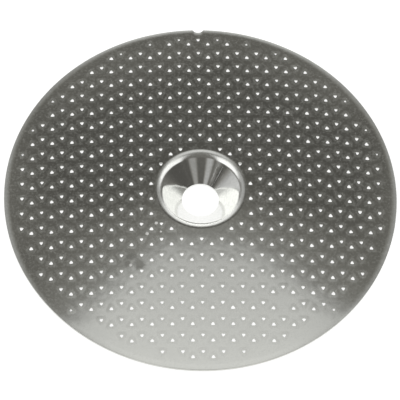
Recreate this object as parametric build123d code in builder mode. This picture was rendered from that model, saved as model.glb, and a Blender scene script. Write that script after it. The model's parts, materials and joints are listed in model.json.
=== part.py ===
"""Filter screen of a coffee machine: one domed, perforated steel sheet with a countersunk screw seat.

Millimetres, +Z up. The origin is on the screw axis, in the flat foot under the seat, on which the
screen comes to rest with its domed face up. The notch in the rim is on the +Y side.
"""

import os
from math import atan2, degrees, hypot, radians, sqrt, tan

from build123d import *

os.makedirs("parts", exist_ok=True)

# Sheet and dome
plate_diameter = 57.0
sheet_thickness = 0.5
dome_rise = 1.9  # crown above the rim, measured on one face
edge_round = 0.1  # of the rim's upper edge

# Countersunk seat for the holding screw
screw_diameter = 5.0
screw_play = 0.4  # hole wider than the screw
countersink_angle = 90.0
seat_depth = 3.85  # crown of the upper face above the foot
land_height = 0.45  # straight wall of the screw hole
bend_radius = 1.15  # inside of the bend from dome to seat

# Perforation: strips of triangles, one small triangular hole in each, punched from below
hole_pitch = 2.875  # side of a triangle in the strips
hole_side = 0.74  # side of a hole in the upper face
hole_mouth = 1.4  # side of a hole in the lower face, where the punch goes in
field_diameter = 53.5  # no hole has its centre further out
blank_diameter = 13.9  # nor nearer to the screw
blocked_holes = [(-4, -5, 1), (4, -8, 2)]  # column, strip and third of the strip, left unpunched

# Notch in the rim
notch_radius = 0.9
notch_depth = 0.5

# Dependent sizes
rim_radius = plate_diameter / 2
hole_radius = (screw_diameter + screw_play) / 2
upper_dome = (rim_radius**2 + dome_rise**2) / (2 * dome_rise)
lower_dome = upper_dome - sheet_thickness
dome_centre = seat_depth - upper_dome
cone_run = tan(radians(countersink_angle / 2))  # radius gained per unit of height
cone_slant = hypot(1, cone_run)
foot_radius = hole_radius + sheet_thickness * cone_slant - land_height * cone_run
strip_height = hole_pitch * sqrt(3) / 2
punch_taper = degrees(atan2(hole_mouth - hole_side, 2 * sqrt(3) * sheet_thickness))


def dome_point(dome, radius):
    """Point of the section on a dome, at a radius from the screw axis."""
    return (radius, dome_centre + sqrt(dome**2 - radius**2))


def seat_corner(dome, radius, height):
    """Point where the seat's cone, risen from a radius and height, comes out at a dome."""
    reach = radius - (height - dome_centre) * cone_run
    rise = (sqrt((dome * cone_slant) ** 2 - reach**2) - cone_run * reach) / cone_slant**2
    return (reach + rise * cone_run, dome_centre + rise)


def hole_centres(third):
    """Centres, in the lower face, of the holes a third or two thirds up each strip of triangles."""
    reach = int(field_diameter / 2 / strip_height) + 1
    for strip in range(-reach, reach):
        for column in range(-reach, reach + 1):
            x = (column + third % 2 / 2) * hole_pitch
            y = (strip + third / 3) * strip_height
            radius = hypot(x, y)
            inside = blank_diameter / 2 < radius < field_diameter / 2
            if inside and (column, strip, third) not in blocked_holes:
                yield (x, y, dome_point(lower_dome, radius)[1])


upper_lip = seat_corner(upper_dome, hole_radius, land_height)
lower_lip = seat_corner(lower_dome, foot_radius, 0)
upper_rim = dome_point(upper_dome, rim_radius)
lower_rim = dome_point(lower_dome, rim_radius)
bends = [
    (upper_lip, bend_radius + sheet_thickness),
    (lower_lip, bend_radius),
    (upper_rim, min(edge_round, 0.8 * sheet_thickness)),
]

# Tapered punch that leaves one hole: it stands with its root below the sheet and its tip above
with BuildPart() as punch:
    with BuildSketch(Plane.XY.offset(-sheet_thickness / 2)):
        RegularPolygon((hole_mouth + (hole_mouth - hole_side) / 2) / sqrt(3), 3, rotation=90)
    extrude(amount=2 * sheet_thickness, taper=punch_taper)

with BuildPart() as filter_screen:
    # Section of the sheet, from the screw hole over the seat and the dome to the rim
    with BuildSketch(Plane.XZ) as section:
        with BuildLine():
            foot = Line((foot_radius, 0), (hole_radius, 0))
            land = Line(foot @ 1, (hole_radius, land_height))
            seat = Line(land @ 1, upper_lip)
            crown_side = dome_point(upper_dome, (upper_lip[0] + rim_radius) / 2)
            crown = ThreePointArc(seat @ 1, crown_side, upper_rim)
            rim = Line(crown @ 1, lower_rim)
            under_side = dome_point(lower_dome, (lower_lip[0] + rim_radius) / 2)
            under = ThreePointArc(rim @ 1, under_side, lower_lip)
            Line(under @ 1, foot @ 0)
        make_face()
        for corner, radius in bends:
            fillet(section.vertices().sort_by_distance((*corner, 0))[0], radius)
    revolve(axis=Axis.Z)

    # Perforation: holes a third up their strip point to the notch, those two thirds up away from it
    for third, turn in ((1, 0), (2, 180)):
        with Locations(*hole_centres(third)):
            add(punch.part, rotation=(0, 0, turn), mode=Mode.SUBTRACT)

    # Notch in the rim
    with BuildSketch():
        with Locations((0, rim_radius - notch_depth + notch_radius)):
            Circle(notch_radius)
    extrude(amount=seat_depth, mode=Mode.SUBTRACT)

filter_screen.part.label = "filter_screen"
export_step(filter_screen.part, "parts/filter_screen.step")
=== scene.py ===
import json
from math import atan2, cos, hypot, pi, radians, sin, sqrt, tan

import bpy
import numpy as np
from mathutils import Matrix, Vector
from mathutils.geometry import delaunay_2d_cdt


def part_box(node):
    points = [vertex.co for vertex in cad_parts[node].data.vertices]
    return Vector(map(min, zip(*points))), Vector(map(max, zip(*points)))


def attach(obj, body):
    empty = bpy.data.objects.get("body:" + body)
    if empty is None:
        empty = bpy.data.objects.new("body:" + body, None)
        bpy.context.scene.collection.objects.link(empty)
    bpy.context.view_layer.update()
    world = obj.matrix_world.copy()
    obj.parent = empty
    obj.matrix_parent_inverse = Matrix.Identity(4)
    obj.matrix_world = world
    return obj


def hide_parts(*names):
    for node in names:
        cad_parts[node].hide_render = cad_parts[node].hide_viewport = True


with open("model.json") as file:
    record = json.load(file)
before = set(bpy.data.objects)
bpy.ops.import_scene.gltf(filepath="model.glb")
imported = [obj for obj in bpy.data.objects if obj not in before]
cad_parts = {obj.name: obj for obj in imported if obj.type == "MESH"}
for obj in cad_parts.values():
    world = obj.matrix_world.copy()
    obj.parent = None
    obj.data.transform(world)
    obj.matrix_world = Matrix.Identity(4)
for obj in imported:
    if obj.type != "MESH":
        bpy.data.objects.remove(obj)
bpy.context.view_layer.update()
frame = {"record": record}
mm = 0.001
scene = bpy.context.scene
plateLow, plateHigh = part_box("filter_screen")
plateRadius = (plateHigh.x - plateLow.x) / 2 / mm
screwHole = next(m for m in frame["record"]["mounts"] if m["name"] == "screw_hole")
screwRadius = screwHole["dims"]["r_mm"]
landHeight = screwHole["dims"]["length_mm"]
print(f"frame: plate of {2 * plateRadius:.1f} mm, screw hole of {2 * screwRadius:.1f} mm")

# Section of the sheet, in millimetres like everything that describes the screen
sheetForm = {
    "thickness": 0.5,
    "domeRise": 1.9,  # crown over rim
    "crownHeight": 3.85,  # crown of the whole dome over the foot
    "countersink": 90,  # angle of the seat's cone, degrees
    "bendRadius": 1.15,  # inside of the bend at the seat's lip
    "edgeWidth": 0.9,  # band at the rim that the shearing drew down
    "edgeDrop": 0.035,  # its fall at the very edge
    "burr": 0.05,  # chamfer of the sheared edges
    "notchRadius": 0.9,
    "notchDepth": 0.5,
    "crease": 15,  # sharpest turn of the section that is still shaded smooth, degrees
    "bendSteps": 14,
    "edgeSteps": 5,
    "seatColumns": 132,
    "rimColumns": 216,
    "notchColumns": 28,
    "notchReach": 1.3,  # half the stretch with closer columns, for each unit of the notch's radius
    "weld": 1e-6,  # points of a web that are closer than this are one
}

# Perforation: strips of triangles with a hole in each, pressed up from below until it pierced
holeForm = {
    "pitch": 2.875,  # side of a triangle in the strips
    "sides": (0.755, 0.71),  # in the upper face, of holes that point to the notch and away from it
    "throat": 0.2,  # depth of its straight wall
    "mouth": 1.36,  # of its flare in the lower face
    "pad": 2.5,  # of the raised triangle round the hole
    "shoulder": 1.8,  # of that triangle's upper part
    "shoulderRoom": 0.9,  # of the room that the pad has there
    "padHeight": 0.01,
    "shoulderDrop": 0.8,  # of the shoulder under the hole's edge, as a share of the pad's height
    "padSlope": 0.35,  # steepest tilt of the pad, degrees
    "crownSlope": 0.1,  # its tilt at the hole, degrees
    "cornerShare": 0.18,  # corner radius for each unit of side
    "fieldRadius": 26.75,
    "bareRadius": 6.95,
    "margin": 0.03,  # least web between a pad and the lip or the drawn edge
    "blocked": [(-4, -5, 1), (4, -8, 2)],  # column, strip and third of the strip of the unpierced ones
    "weakFrom": 26.65,  # holes further out than this are hardly pierced
    "weakSize": 0.66,
    "cornerPoints": 4,
    "sizeSpread": 0.04,
    "turnSpread": 4,  # degrees
    "seed": 11,
}

domeRadius = (plateRadius**2 + sheetForm["domeRise"] ** 2) / (2 * sheetForm["domeRise"])
domeCentre = sheetForm["crownHeight"] - domeRadius
upperDome = domeRadius - holeForm["padHeight"]
lowerDome = domeRadius - sheetForm["thickness"]
coneRun = tan(radians(sheetForm["countersink"] / 2))
coneSlant = hypot(1, coneRun)
footRadius = screwRadius + sheetForm["thickness"] * coneSlant - landHeight * coneRun


# Height of a dome: the sphere's centre plus the root of its radius squared less the reach squared
def domeHeight(dome, reach):
    return domeCentre + np.sqrt(dome**2 - reach**2)


# Unit normal of a dome over points in plan: their direction from the sphere's centre
def domeNormal(dome, plan):
    tall = np.sqrt(dome**2 - (plan**2).sum(-1))
    return np.concatenate([plan, tall[..., None]], -1) / dome


# Bend between a dome and the seat's cone: its centre is a bend radius inside both, which is the root of a
# quadratic in the height, and its points turn about that centre from the dome's normal to the cone's
def bendArc(dome, coneRadius, coneHeight, bend):
    reach = coneRadius + bend * coneSlant - (coneHeight - domeCentre) * coneRun
    rise = (sqrt(((dome - bend) * coneSlant) ** 2 - reach**2) - coneRun * reach) / coneSlant**2
    centre = np.array([reach + rise * coneRun, domeCentre + rise])
    turn = np.linspace(atan2(rise, centre[0]), atan2(coneRun, -1), sheetForm["bendSteps"])
    return centre + bend * np.stack([np.cos(turn), np.sin(turn)], -1)


# Rounded triangle with a corner to +Y: three arcs whose centres lie two corner radii inside the sharp
# corners. Gives the points in plan and the directions square to the outline there
def roundedTriangle(side, corner):
    tips = pi / 2 + np.arange(3) * 2 * pi / 3
    spread = np.linspace(-pi / 3, pi / 3, holeForm["cornerPoints"])
    arc = (tips[:, None] + spread).ravel()
    bisector = np.repeat(tips, holeForm["cornerPoints"])
    outward = np.stack([np.cos(arc), np.sin(arc)], -1)
    tip = np.stack([np.cos(bisector), np.sin(bisector)], -1)
    return (side / sqrt(3) - 2 * corner) * tip + corner * outward, outward


# Places of the holes: columns and strips of the lattice, with the hole a third or two thirds up its strip
def holeLattice():
    high = holeForm["pitch"] * sqrt(3) / 2
    count = int(holeForm["fieldRadius"] / high) + 1
    steps = np.arange(-count, count + 1)
    column, strip, third = (a.ravel() for a in np.meshgrid(steps, steps, [1, 2], indexing="ij"))
    places = np.stack([(column + third % 2 / 2) * holeForm["pitch"], (strip + third / 3) * high], -1)
    reach = np.hypot(*places.T)
    kept = (reach > holeForm["bareRadius"]) & (reach < holeForm["fieldRadius"])
    index = np.stack([column, strip, third], -1)[kept]
    blocked = (index[:, None] == np.array(holeForm["blocked"])).all(-1).any(-1)
    return places[kept][~blocked], index[~blocked, 2]


# Radius of the rim at a turn: the plate's own, or the near side of the notch's circle where that is less
def rimOutline(turn):
    away = turn - pi / 2
    reach = plateRadius - sheetForm["notchDepth"] + sheetForm["notchRadius"]
    under = sheetForm["notchRadius"] ** 2 - (reach * np.sin(away)) ** 2
    notch = reach * np.cos(away) - np.sqrt(np.maximum(under, 0))
    return np.where((under > 0) & (np.cos(away) > 0), np.minimum(plateRadius, notch), plateRadius)


# Turns round the rim, closer together in the notch
def rimTurns():
    half = sheetForm["notchReach"] * sheetForm["notchRadius"] / plateRadius
    close = np.linspace(pi / 2 - half, pi / 2 + half, sheetForm["notchColumns"], endpoint=False)
    wide = np.linspace(pi / 2 + half, 5 * pi / 2 - half, sheetForm["rimColumns"], endpoint=False)
    return np.concatenate([close, wide])


# Corner normals along a section: square to each stretch, and averaged where two stretches meet gently
# The first and last points take the normals given for them
def sectionNormals(section, first, last):
    step = np.diff(section, axis=0)
    square = np.stack([step[:, 1], -step[:, 0]], -1)
    square = square / np.linalg.norm(square, axis=1, keepdims=True)
    mean = square[:-1] + square[1:]
    mean = mean / np.linalg.norm(mean, axis=1, keepdims=True)
    gentle = ((square[:-1] * square[1:]).sum(1) > cos(radians(sheetForm["crease"])))[:, None]
    starts = np.concatenate([[first], np.where(gentle, mean, square[1:])])
    ends = np.concatenate([np.where(gentle, mean, square[:-1]), [last]])
    return starts, ends


# Normals of a section carried along directions in plan
def carried(normals, ring):
    up = np.broadcast_to(normals[:, None, 1:], (len(normals), len(ring), 1))
    return np.concatenate([normals[:, None, :1] * ring, up], -1)


# Collects vertices, faces and corner normals of a mesh that is made of bands and webs
class Sheet:
    def __init__(self):
        self.points = []
        self.padShares = []
        self.pressShares = []
        self.quads = []
        self.quadNormals = []
        self.triangles = []
        self.triangleNormals = []
        self.count = 0

    # Adds a block of points with their shares of pad and of pressed seat. Gives their numbers in its shape
    def add(self, points, padShare=0, pressShare=0):
        number = self.count + np.arange(points[..., 0].size).reshape(points.shape[:-1])
        self.points.append(points.reshape(-1, 3))
        self.padShares.append(np.broadcast_to(padShare, points.shape[:-1]).ravel())
        self.pressShares.append(np.broadcast_to(pressShare, points.shape[:-1]).ravel())
        self.count += number.size
        return number

    # Quads of rings that close on themselves: rings run along the last axis but one, columns along the last
    # starts and ends are the normals of each band at its first and its second ring
    def band(self, number, starts, ends):
        here, after = number, np.roll(number, -1, -1)
        quads = np.stack([here[..., :-1, :], after[..., :-1, :], after[..., 1:, :], here[..., 1:, :]], -1)
        normals = np.stack([starts, np.roll(starts, -1, -2), np.roll(ends, -1, -2), ends], -2)
        self.quads.append(quads.reshape(-1, 4))
        self.quadNormals.append(normals.reshape(-1, 4, 3))

    # Triangles that fill the plan between outlines, the first of which is the rim's, set in: a constrained
    # Delaunay fill, less the triangles inside another outline and those past the rim
    def web(self, loops, dome, face, inset):
        number = np.concatenate([loop.ravel() for loop in loops])
        plan = np.concatenate(self.points)[number, :2]
        size = np.array([loop.size for loop in loops])
        owner = np.repeat(np.arange(len(loops)), size)
        first = np.repeat(np.cumsum(size) - size, size)
        place = np.arange(len(number)) - first
        edges = np.stack([np.arange(len(number)), first + (place + 1) % size[owner]], -1)
        corners = [Vector(p) for p in plan.tolist()]
        filled = delaunay_2d_cdt(corners, edges.tolist(), [], 0, sheetForm["weld"])
        faces = np.array(filled[2])
        middle = plan[faces].mean(1)
        edge = rimOutline(np.arctan2(middle[:, 1], middle[:, 0])) - inset
        past = np.hypot(*middle.T) > edge
        inside = (owner[faces] == owner[faces][:, :1]).all(-1) & (owner[faces][:, 0] > 0)
        faces = faces[~(inside | past)][:, ::face]
        self.triangles.append(number[faces])
        self.triangleNormals.append(face * domeNormal(dome, plan[faces]))

    # One closed mesh with the normals that were given for it
    def mesh(self, name):
        made = bpy.data.meshes.new(name)
        quads = np.concatenate(self.quads)
        triangles = np.concatenate(self.triangles)
        made.from_pydata(np.concatenate(self.points) * mm, [], quads.tolist() + triangles.tolist())
        made.polygons.foreach_set("use_smooth", np.ones(len(made.polygons), bool))
        normals = [a.reshape(-1, 3) for a in self.quadNormals + self.triangleNormals]
        made.normals_split_custom_set(np.concatenate(normals).tolist())
        for share, values in (("padShare", self.padShares), ("pressShare", self.pressShares)):
            made.attributes.new(share, "FLOAT", "POINT").data.foreach_set(
                "value", np.concatenate(values).astype(np.float32))
        made.update()
        return made


# Normals that lean from upward to outward: a direction in plan times the sine of the lean, and an upward
# vector times its cosine
def leaning(outward, lean, upward):
    flat = np.concatenate([outward, np.zeros(outward.shape[:-1] + (1,))], -1)
    return flat * sin(lean) + upward * cos(lean)


# Room for a pad or a mouth: from the hole to the bend at the lip or to the drawn edge, whichever is nearer
def holeRoom(places):
    bend = sheetForm["bendRadius"] + sheetForm["thickness"]
    lip = bendArc(upperDome, screwRadius, landHeight, bend)[0, 0]
    reach = np.hypot(*places.T)
    edge = rimOutline(np.arctan2(places[:, 1], places[:, 0])) - sheetForm["edgeWidth"]
    return np.minimum(reach - lip, edge - reach) - holeForm["margin"]


# Holes: rings of rounded triangles from the pad's foot over its shoulder to the hole's edge, down the
# throat and down the flare
def addHoles(sheet):
    places, third = holeLattice()
    draw = np.random.default_rng(holeForm["seed"])
    weak = np.hypot(*places.T) > holeForm["weakFrom"]
    side = max(holeForm["sides"])
    scale = np.where(third == 1, *holeForm["sides"]) / side * np.where(weak, holeForm["weakSize"], 1)
    scale = scale * (1 + holeForm["sizeSpread"] * draw.normal(size=len(places)))
    turn = np.where(third == 1, 0, pi) + radians(holeForm["turnSpread"]) * draw.normal(size=len(places))
    spin = np.stack([np.cos(turn), -np.sin(turn), np.sin(turn), np.cos(turn)], -1).reshape(-1, 2, 2)
    high = holeForm["padHeight"]
    sides = [holeForm["pad"], holeForm["shoulder"], side, side, holeForm["mouth"]]
    drops = [high, holeForm["shoulderDrop"] * high, 0, holeForm["throat"], sheetForm["thickness"]]
    shares = [1, holeForm["shoulderRoom"], 0, 0, 1]  # of the room to the next edge that a ring may take
    flare = atan2((holeForm["mouth"] - side) / 2 / sqrt(3), sheetForm["thickness"] - holeForm["throat"])
    tilts = [0, radians(holeForm["padSlope"]), radians(holeForm["crownSlope"])]
    room = holeRoom(places)
    rings = []
    for wide, drop, share in zip(sides, drops, shares):
        outline, outward = roundedTriangle(wide, wide * holeForm["cornerShare"])
        size = np.minimum(1, share * room / np.linalg.norm(outline, axis=1).max()) if share else scale
        plan = places[:, None] + size[:, None, None] * np.einsum("nij,cj->nci", spin, outline)
        height = domeHeight(domeRadius - drop, np.hypot(*np.moveaxis(plan, -1, 0)))
        rings.append(np.concatenate([plan, height[..., None]], -1))
    rings = np.stack(rings, 1)
    outward = np.einsum("nij,cj->nci", spin, outward)
    upward = domeNormal(domeRadius, rings[:, :, :, :2])
    leans = [leaning(outward, tilt, upward[:, k]) for k, tilt in enumerate(tilts)]
    wall = leaning(-outward, pi / 2, upward[:, 3])
    flared = leaning(-outward, pi / 2 + flare, upward[:, 3])
    starts = np.stack([leans[0], leans[1], wall, flared], 1)
    ends = np.stack([leans[1], leans[2], wall, flared], 1)
    padShare = np.array([0, 1, 1, 1, 0])[:, None]  # from the pad's foot to the mouth
    number = sheet.add(rings, padShare)
    sheet.band(number, starts, ends)
    print(f"perforation: {len(number)} holes")
    return number[:, 0], number[:, 4]


# Seat: one section from the lip down the cone, through the screw hole and back up under the sheet, turned
# round the axis
def addSeat(sheet):
    burr = sheetForm["burr"]
    upper = bendArc(upperDome, screwRadius, landHeight, sheetForm["bendRadius"] + sheetForm["thickness"])
    lower = bendArc(lowerDome, footRadius, 0, sheetForm["bendRadius"])[::-1]
    lean = np.array([coneRun, 1]) / coneSlant
    wall = [upper[-1] - burr * lean, (screwRadius, landHeight)]
    hole = [(screwRadius, burr), (screwRadius + burr / 2, 0), (footRadius, 0)]
    section = np.concatenate([upper, wall, hole, lower])
    first = np.array([upper[0, 0], upper[0, 1] - domeCentre]) / upperDome
    last = -np.array([lower[-1, 0], lower[-1, 1] - domeCentre]) / lowerDome
    starts, ends = sectionNormals(section, first, last)
    turn = np.linspace(0, 2 * pi, sheetForm["seatColumns"], endpoint=False)
    ring = np.stack([np.cos(turn), np.sin(turn)], -1)
    plan = section[:, None, :1] * ring
    height = np.broadcast_to(section[:, None, 1:], plan.shape[:2] + (1,))
    pressed = np.concatenate([np.linspace(0, 1, len(upper)), np.ones(len(section) - len(upper))])
    number = sheet.add(np.concatenate([plan, height], -1), pressShare=pressed[:, None])
    sheet.band(number, carried(starts, ring), carried(ends, ring))
    return number[0], number[-1]


# Rim: a section from the lower face up the sheared wall and over the drawn edge, whose fall grows with the
# square of the way across it, set in from the outline at each turn
def addRim(sheet):
    band, burr = sheetForm["edgeWidth"], sheetForm["burr"]
    across = np.linspace(1, 0, sheetForm["edgeSteps"])
    inset = np.concatenate([[burr, 0, 0], burr / 2 + (band - burr / 2) * (1 - across)])
    under = domeHeight(lowerDome, plateRadius - inset[:2]) + [0, burr]
    over = domeHeight(upperDome, plateRadius - inset[3:]) - sheetForm["edgeDrop"] * across**2
    tall = np.concatenate([under, over[:1] - burr / 2, over])
    section = np.stack([plateRadius - inset, tall], -1)
    first = -np.array([section[0, 0], section[0, 1] - domeCentre]) / lowerDome
    last = np.array([section[-1, 0], section[-1, 1] - domeCentre]) / upperDome
    starts, ends = sectionNormals(section, first, last)
    turn = rimTurns()
    outline = rimOutline(turn)
    ring = np.stack([np.cos(turn), np.sin(turn)], -1)
    plan = (outline - inset[:, None])[..., None] * ring
    lift = domeHeight(upperDome, outline - band) - domeHeight(upperDome, plateRadius - band)
    height = tall[:, None] + lift
    number = sheet.add(np.concatenate([plan, height[..., None]], -1))
    edge = np.roll(plan[1], -1, 0) - np.roll(plan[1], 1, 0)
    square = np.stack([edge[:, 1], -edge[:, 0]], -1)
    square /= np.linalg.norm(square, axis=1, keepdims=True)
    sheet.band(number, carried(starts, square), carried(ends, square))
    return number[-1], number[0]


# The whole screen as one closed mesh: holes, seat and rim, with a web between them on each face
def makeScreen():
    sheet = Sheet()
    pads, mouths = addHoles(sheet)
    lip, underLip = addSeat(sheet)
    edge, underEdge = addRim(sheet)
    sheet.web([edge, lip, *pads], upperDome, 1, sheetForm["edgeWidth"])
    sheet.web([underEdge, underLip, *mouths], lowerDome, -1, sheetForm["burr"])
    mesh = sheet.mesh("screenSheet")
    screen = bpy.data.objects.new("screenSheet", mesh)
    scene.collection.objects.link(screen)
    triangles = sum(len(p.vertices) - 2 for p in mesh.polygons)
    print(f"screen: {len(mesh.vertices)} vertices, {triangles} triangles")
    return screen


# Camera that was fitted to the rim and to the lattice of holes
cameraForm = {
    "lens": 291.7,
    "sensor": 36,
    "distance": 470.06,
    "elevation": 59.845,  # degrees over the floor
    "heading": 2.94,  # degrees that the notch is turned left of straight away
    "roll": -2.457,
    "target": (-0.095, -0.750, 1.70),
    "clip": (10, 20000),
}
heading = radians(cameraForm["heading"])
rightward = Vector((cos(heading), -sin(heading), 0))
awayward = Vector((sin(heading), cos(heading), 0))
skyward = Vector((0, 0, 1))


# Places the camera: its own axes are the picture's right and up, turned by the roll, and the line back
# to it
def placeCamera():
    rise, roll = radians(cameraForm["elevation"]), radians(cameraForm["roll"])
    back = skyward * sin(rise) - awayward * cos(rise)
    up = awayward * sin(rise) + skyward * cos(rise)
    across = rightward * cos(roll) - up * sin(roll)
    tall = rightward * sin(roll) + up * cos(roll)
    data = bpy.data.cameras.new("camera")
    data.lens = cameraForm["lens"]
    data.sensor_width = cameraForm["sensor"]
    data.clip_start, data.clip_end = (reach * mm for reach in cameraForm["clip"])
    camera = bpy.data.objects.new("camera", data)
    camera.matrix_world = Matrix((across, tall, back)).transposed().to_4x4()
    camera.location = (Vector(cameraForm["target"]) + back * cameraForm["distance"]) * mm
    scene.collection.objects.link(camera)
    scene.camera = camera
    print(f"camera: {cameraForm['elevation']:.1f} degrees over the floor")


# Adds a node with its settings; an input is a link where it is given a socket, and a value otherwise
def addNode(tree, kind, inputs=None, **settings):
    node = tree.nodes.new(kind)
    for name, value in settings.items():
        setattr(node, name, value)
    for name, value in (inputs or {}).items():
        socket = node.inputs[name]
        if isinstance(value, bpy.types.NodeSocket):
            tree.links.new(value, socket)
        else:
            socket.default_value = value
    return node


# Maths of one or two numbers
def mathNode(tree, operation, first, second=0.0):
    return addNode(tree, "ShaderNodeMath", {0: first, 1: second}, operation=operation).outputs[0]


# Maths of two vectors. Gives both outputs, of which one is a vector and one a number
def vectorNode(tree, operation, first, second):
    return addNode(tree, "ShaderNodeVectorMath", {0: first, 1: second}, operation=operation).outputs


# Vector times a number
def scaled(tree, vector, share):
    inputs = {0: vector, "Scale": share}
    return addNode(tree, "ShaderNodeVectorMath", inputs, operation="SCALE").outputs[0]


# Smooth ramp of a value between two limits
def ramp(tree, value, low, high, toLow=0.0, toHigh=1.0):
    inputs = {"Value": value, "From Min": low, "From Max": high, "To Min": toLow, "To Max": toHigh}
    return addNode(tree, "ShaderNodeMapRange", inputs, interpolation_type="SMOOTHSTEP").outputs[0]


# Tone that goes from the first to the second with a share. Sockets 6, 7 and 2 are those for tones
def mixTone(tree, share, first, second):
    return addNode(tree, "ShaderNodeMix", {0: share, 6: first, 7: second}, data_type="RGBA").outputs[2]


# Rays that show the white ground: those of the camera, of gloss and of glass
def seenRays(tree):
    path = addNode(tree, "ShaderNodeLightPath").outputs
    seen = mathNode(tree, "MAXIMUM", path["Is Camera Ray"], path["Is Glossy Ray"])
    return mathNode(tree, "MAXIMUM", seen, path["Is Transmission Ray"])


# Studio: the light by direction
studioForm = {
    "ambient": 0.18,
    "ambientTone": (1.0, 0.97, 0.90, 1),
    "toneSpan": (0.15, 0.5),  # strengths between which the ambient tone turns to white
    "horizon": 0.1,  # height of a direction from which the overhead lights are at full strength
    # Polygons in the plane of the floor, in shares of a direction's length. An edge is given by the angle
    # to it, which goes from the right to straight away, by its reach and by its softness. The tilt is the
    # fall of the strength away from the camera, and most is the limit that it is held to
    "overhead": [
        {"name": "core", "strength": 0.935, "tilt": 1.42, "most": 0.672,
         "edges": [(133.5, 0.333, 0.022), (55.7, 0.384, 0.02), (90, 0.41, 0.012), (-90, 0.02, 0.13),
                   (180, 0.25, 0.16), (0, 0.29, 0.16)]},
        {"name": "halo", "strength": 0.15, "tilt": 0, "most": 1,
         "edges": [(133.5, 0.377, 0.075), (55.7, 0.428, 0.075), (-90, 0.02, 0.13)]},
        {"name": "dark back", "strength": -0.06, "tilt": 0, "most": 1,
         "edges": [(115.5, 0.644, 0.025), (64.5, 0.658, 0.025), (180, 0.24, 0.03), (0, 0.25, 0.03),
                   (-90, -0.46, 0.04)]},
        {"name": "left edge", "strength": 0.31, "tilt": 0, "most": 1,
         "edges": [(0, -0.33, 0.075), (90, 0.6, 0.05), (-90, -0.14, 0.08), (180, 0.72, 0.06)]},
        {"name": "right edge", "strength": 0.29, "tilt": 0, "most": 1,
         "edges": [(180, -0.335, 0.075), (90, 0.6, 0.05), (-90, -0.14, 0.08), (0, 0.72, 0.06)]},
        {"name": "left back", "strength": 0.22, "tilt": 0, "most": 1,
         "edges": [(-53, -0.685, 0.05), (127, 0.85, 0.04), (180, 0.4, 0.05)]},
        {"name": "right back", "strength": 0.24, "tilt": 0, "most": 1,
         "edges": [(-127, -0.685, 0.05), (53, 0.85, 0.04), (0, 0.4, 0.05)]},
    ],
    # Degrees: the heading goes from straight away to the right, and wide and high are half sizes
    "boxes": [
        {"name": "dark front", "heading": 180, "wide": 95, "softWide": 15,
         "elevation": 10, "high": 22, "softHigh": 8, "strength": -0.085},
        {"name": "backdrop", "heading": -2, "wide": 38, "softWide": 14,
         "elevation": 0, "high": 34, "softHigh": 7, "strength": 0.9},
        {"name": "table edge", "heading": 2, "wide": 50, "softWide": 10,
         "elevation": 0, "high": 5, "softHigh": 3, "strength": 0.9},
        {"name": "right box", "heading": 93, "wide": 36, "softWide": 7,
         "elevation": 48, "high": 18, "softHigh": 5, "strength": 1.15},
        {"name": "left box", "heading": -110, "wide": 32, "softWide": 7,
         "elevation": 49, "high": 19, "softHigh": 5, "strength": 1.3},
        {"name": "right strip", "heading": 156, "wide": 9, "softWide": 5,
         "elevation": 24, "high": 9, "softHigh": 4, "strength": 0.24},
        {"name": "left strip", "heading": -160, "wide": 9, "softWide": 5,
         "elevation": 24, "high": 9, "softHigh": 4, "strength": 0.35},
        {"name": "left glow", "heading": -88, "wide": 30, "softWide": 12,
         "elevation": 6, "high": 14, "softHigh": 6, "strength": 0.48},
    ],
}


# Share of one direction along another
def dotNode(tree, first, second):
    return vectorNode(tree, "DOT_PRODUCT", first, second)["Value"]


# Overhead light: a soft polygon, the product of a ramp across each of its edges, with a strength that falls
# evenly away from the camera
def overheadLight(tree, view, box):
    away = dotNode(tree, view, awayward)
    light = mathNode(tree, "MULTIPLY_ADD", away, -box["tilt"])
    light.node.inputs[2].default_value = box["strength"]
    light = mathNode(tree, "MINIMUM", light, box["most"])
    for angle, reach, soft in box["edges"]:
        turn = radians(angle)
        across = dotNode(tree, view, rightward * cos(turn) + awayward * sin(turn))
        light = mathNode(tree, "MULTIPLY", light, ramp(tree, across, reach + soft, reach - soft))
    overFloor = ramp(tree, dotNode(tree, view, skyward), 0, studioForm["horizon"])
    return mathNode(tree, "MULTIPLY", light, overFloor)


# Soft box: ramps of the heading and of the elevation away from its middle
# The cosine of the heading is the share along the box's own heading over the level length of the direction
def softBox(tree, view, rise, level, box):
    turn = radians(box["heading"])
    along = dotNode(tree, view, awayward * cos(turn) + rightward * sin(turn))
    aside = mathNode(tree, "ARCCOSINE", mathNode(tree, "DIVIDE", along, level))
    wide, softWide = radians(box["wide"]), radians(box["softWide"])
    above = mathNode(tree, "ABSOLUTE", mathNode(tree, "SUBTRACT", rise, radians(box["elevation"])))
    high, softHigh = radians(box["high"]), radians(box["softHigh"])
    across = ramp(tree, aside, wide + softWide, wide - softWide)
    upright = ramp(tree, above, high + softHigh, high - softHigh, 0, box["strength"])
    return mathNode(tree, "MULTIPLY", across, upright)


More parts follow.
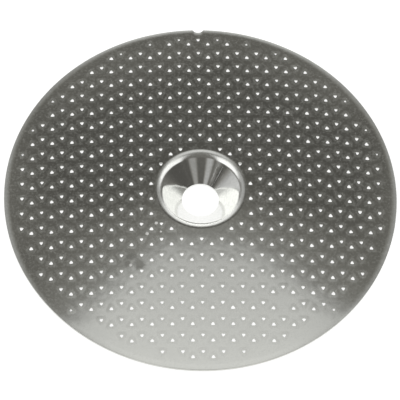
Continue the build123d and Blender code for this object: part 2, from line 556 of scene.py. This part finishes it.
# World: the ambient light plus every overhead light and soft box, and plain white to the camera
def makeStudio():
    world = bpy.data.worlds.new("studio")
    scene.world = world
    world.use_nodes = True
    tree = world.node_tree
    tree.nodes.clear()
    view = addNode(tree, "ShaderNodeTexCoord").outputs["Generated"]
    rise = mathNode(tree, "ARCSINE", dotNode(tree, view, skyward))
    level = mathNode(tree, "COSINE", rise)
    light = studioForm["ambient"]
    for box in studioForm["overhead"]:
        light = mathNode(tree, "ADD", light, overheadLight(tree, view, box))
    for box in studioForm["boxes"]:
        light = mathNode(tree, "ADD", light, softBox(tree, view, rise, level, box))
    camera = addNode(tree, "ShaderNodeLightPath").outputs["Is Camera Ray"]
    light = mathNode(tree, "MAXIMUM", light, camera)
    whiter = ramp(tree, light, *studioForm["toneSpan"])
    tone = mixTone(tree, whiter, studioForm["ambientTone"], (1, 1, 1, 1))
    background = addNode(tree, "ShaderNodeBackground", {"Color": tone, "Strength": light})
    addNode(tree, "ShaderNodeOutputWorld", {"Surface": background.outputs[0]})
    for kind in ("overhead", "boxes"):
        print(f"studio, {kind}:", ", ".join(box["name"] for box in studioForm[kind]))


floorForm = {
    "half": 2.0,  # metres
    "paint": (0.42, 0.42, 0.42, 1),
    "glow": 0.86,
}


# Floor under the foot: a square that is white to the camera and in gloss, with a diffuse share that takes
# the shadow
def makeFloor():
    side = np.array([-1, 1]) * floorForm["half"]
    x, y = (a.ravel() for a in np.meshgrid(side, side))
    points = np.stack([x, y, np.full(4, plateLow.z)], -1)
    mesh = bpy.data.meshes.new("floor")
    mesh.from_pydata(points, [], [(0, 1, 3, 2)])
    floor = bpy.data.objects.new("floor", mesh)
    scene.collection.objects.link(floor)
    material = bpy.data.materials.new("whiteFloor")
    material.use_nodes = True
    tree = material.node_tree
    tree.nodes.clear()
    diffuse = addNode(tree, "ShaderNodeBsdfDiffuse", {"Color": floorForm["paint"]})
    glow = mathNode(tree, "MULTIPLY", seenRays(tree), floorForm["glow"])
    shine = addNode(tree, "ShaderNodeEmission", {"Color": (1, 1, 1, 1), "Strength": glow})
    both = addNode(tree, "ShaderNodeAddShader", {0: diffuse.outputs[0], 1: shine.outputs[0]})
    addNode(tree, "ShaderNodeOutputMaterial", {"Surface": both.outputs[0]})
    mesh.materials.append(material)
    print("floor: at the foot's height")


# Rolled stainless sheet: scuffed pads round the holes, a burnished seat, the marks of use, and painted
# glints
steelForm = {
    "tone": (0.60, 0.605, 0.57, 1),
    "pressTone": (0.82, 0.825, 0.80, 1),
    "roughness": 0.08,
    "lipRoughness": 0.17,  # added in the middle of the stretched bend
    "padDull": 0.082,  # share of the pads' shine lost to scuffing
    "padRoughness": 0.065,  # added on the pads
    "noiseDetail": 2.0,
    "noiseRoughness": 0.6,
    "grain": 0.35,  # size of the rolled grain
    "grainTone": 0.05,
    "toneSpan": (0.25, 0.75),  # of the grain's noise that the tone follows
    "dullSpan": (0.45, 0.75),  # and that the shine follows
    "grainDull": 0.19,  # share of the shine lost where the grain is roughest
    "grainDepth": 0.0006,
    "wave": 3.2,  # size of the sheet's own unevenness
    "waveDepth": 0.012,
    "streaks": 30,  # of the scratched wall, for each radian
    "streakTurn": 40,  # degrees round the axis to the middle of the scratches
    "streakReach": (0.75, 0.95),  # cosines of the turns from there at which they end and are in full
    "streakSpan": (0.5, 0.7),  # of the noise that leaves a scratch
    "streakRise": 0.3,  # change of the noise down the wall, for each millimetre
    "streakDetail": 3.0,
    "streakRoughness": 0.3,
    "stainTone": (0.38, 0.38, 0.35, 1),
    "stainRoughness": 0.2,
    "stains": [(-10.07, -11.02, 0.6), (-8.89, -12.24, 0.8), (-10.57, -12.11, 0.45)],  # place and radius
    "ragged": 0.8,  # size of the raggedness of their edges
    "raggedDepth": 1.2,
    "spotEdge": (1.4, 0.6),  # start and end of a spot's edge, for each unit of its radius
    # Painted glints: white matte flecks that stand in for small bright points of light, with their tone,
    # places and radii
    "paintedGlintTone": (0.93, 0.93, 0.90, 1),
    "paintedGlints": [(-6.49, -5.69, 0.24), (-7.81, -7.40, 0.24), (-5.84, -7.10, 0.15), (-10.2, -12.38, 0.2)],
}


# Spots: how far a point on the sheet lies inside the nearest of the given circles, with a ragged edge
def spots(tree, place, circles, ragged):
    found = None
    for x, y, radius in circles:
        away = vectorNode(tree, "DISTANCE", place, (x, y, 0))["Value"]
        start, end = (radius * share for share in steelForm["spotEdge"])
        inside = ramp(tree, mathNode(tree, "ADD", away, ragged), start, end)
        found = inside if found is None else mathNode(tree, "MAXIMUM", found, inside)
    return found


# Noise whose features are about as wide as the size
def noiseNode(tree, place, size, detail=steelForm["noiseDetail"]):
    rough = steelForm["noiseRoughness"]
    inputs = {"Vector": place, "Scale": 1 / size, "Detail": detail, "Roughness": rough}
    return addNode(tree, "ShaderNodeTexNoise", inputs).outputs[0]


# The sheet's material, worked out in millimetres from the object's own coordinates
def steelSheet():
    material = bpy.data.materials.new("steelSheet")
    material.use_nodes = True
    tree = material.node_tree
    shader = tree.nodes["Principled BSDF"]
    metres = addNode(tree, "ShaderNodeTexCoord").outputs["Object"]
    place = scaled(tree, metres, 1 / mm)
    flat = vectorNode(tree, "MULTIPLY", place, (1, 1, 0))[0]
    pad = addNode(tree, "ShaderNodeAttribute", attribute_name="padShare").outputs["Fac"]
    pressed = addNode(tree, "ShaderNodeAttribute", attribute_name="pressShare").outputs["Fac"]
    grain = noiseNode(tree, place, steelForm["grain"])
    wave = noiseNode(tree, place, steelForm["wave"])
    ragged = mathNode(tree, "SUBTRACT", noiseNode(tree, place, steelForm["ragged"]), 0.5)
    ragged = mathNode(tree, "MULTIPLY", ragged, steelForm["raggedDepth"])
    stain = spots(tree, flat, steelForm["stains"], ragged)
    # Painted glints: white matte flecks that stand in for small bright points of light on the sheet
    paintedGlint = spots(tree, flat, steelForm["paintedGlints"], 0.0)

    # Tone: the sheet's or the seat's, uneven by the grain, then dirt and painted glints (white flecks
    # standing in for small bright points of light) over it
    tone = mixTone(tree, pressed, steelForm["tone"], steelForm["pressTone"])
    spread = steelForm["grainTone"]
    uneven = ramp(tree, grain, *steelForm["toneSpan"], 1 - spread, 1 + spread)
    tone = scaled(tree, tone, uneven)
    tone = mixTone(tree, stain, tone, steelForm["stainTone"])
    tone = mixTone(tree, paintedGlint, tone, steelForm["paintedGlintTone"])
    tree.links.new(tone, shader.inputs["Base Color"])

    # Shine: dulled on the pads and by the grain, and gone on the painted glints, which are white matte
    # flecks
    rolled = mathNode(tree, "SUBTRACT", 1.0, pressed)
    dull = mathNode(tree, "MULTIPLY", pad, steelForm["padDull"])
    scuffed = ramp(tree, grain, *steelForm["dullSpan"], 0, steelForm["grainDull"])
    dull = mathNode(tree, "ADD", dull, mathNode(tree, "MULTIPLY", scuffed, rolled))
    dull = mathNode(tree, "MAXIMUM", dull, paintedGlint)
    tree.links.new(mathNode(tree, "SUBTRACT", 1.0, dull), shader.inputs["Metallic"])

    # Roughness: more on the pads, in the middle of the stretched bend, on dirt and in the scratches that
    # run down one side of the seat, which are noise along the turn round the axis
    parts = addNode(tree, "ShaderNodeSeparateXYZ", {0: place}).outputs
    turn = mathNode(tree, "ARCTAN2", parts["Y"], parts["X"])
    around = mathNode(tree, "MULTIPLY", turn, steelForm["streaks"])
    down = mathNode(tree, "MULTIPLY", parts["Z"], steelForm["streakRise"])
    fan = addNode(tree, "ShaderNodeCombineXYZ", {0: around, 1: down}).outputs[0]
    streak = noiseNode(tree, fan, 1.0, steelForm["streakDetail"])
    streak = ramp(tree, streak, *steelForm["streakSpan"], 0, steelForm["streakRoughness"])
    aside = mathNode(tree, "SUBTRACT", turn, radians(steelForm["streakTurn"]))
    near = ramp(tree, mathNode(tree, "COSINE", aside), *steelForm["streakReach"])
    streak = mathNode(tree, "MULTIPLY", streak, mathNode(tree, "MULTIPLY", pressed, near))
    scuffs = mathNode(tree, "MULTIPLY", pad, steelForm["padRoughness"])
    bend = mathNode(tree, "MULTIPLY", pressed, rolled)  # a quarter in the middle, nothing at both ends
    stretched = mathNode(tree, "MULTIPLY", bend, 4 * steelForm["lipRoughness"])
    rough = mathNode(tree, "ADD", mathNode(tree, "ADD", scuffs, stretched), steelForm["roughness"])
    rough = mathNode(tree, "MAXIMUM", rough, mathNode(tree, "MULTIPLY", stain, steelForm["stainRoughness"]))
    tree.links.new(mathNode(tree, "MAXIMUM", rough, streak), shader.inputs["Roughness"])

    # Relief: the sheet's unevenness and its grain
    relief = mathNode(tree, "MULTIPLY", grain, steelForm["grainDepth"] * mm)
    relief = mathNode(tree, "ADD", relief, mathNode(tree, "MULTIPLY", wave, steelForm["waveDepth"] * mm))
    bump = addNode(tree, "ShaderNodeBump", {"Height": relief, "Distance": 1.0, "Strength": 1.0})
    tree.links.new(bump.outputs[0], shader.inputs["Normal"])
    print(f"steel: {len(steelForm['stains'])} stains, {len(steelForm['paintedGlints'])} specks")
    return material


placeCamera()
makeStudio()
makeFloor()
screen = makeScreen()
screen.data.materials.append(steelSheet())
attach(screen, "root")
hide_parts("filter_screen")
scene.view_settings.view_transform = "Standard"
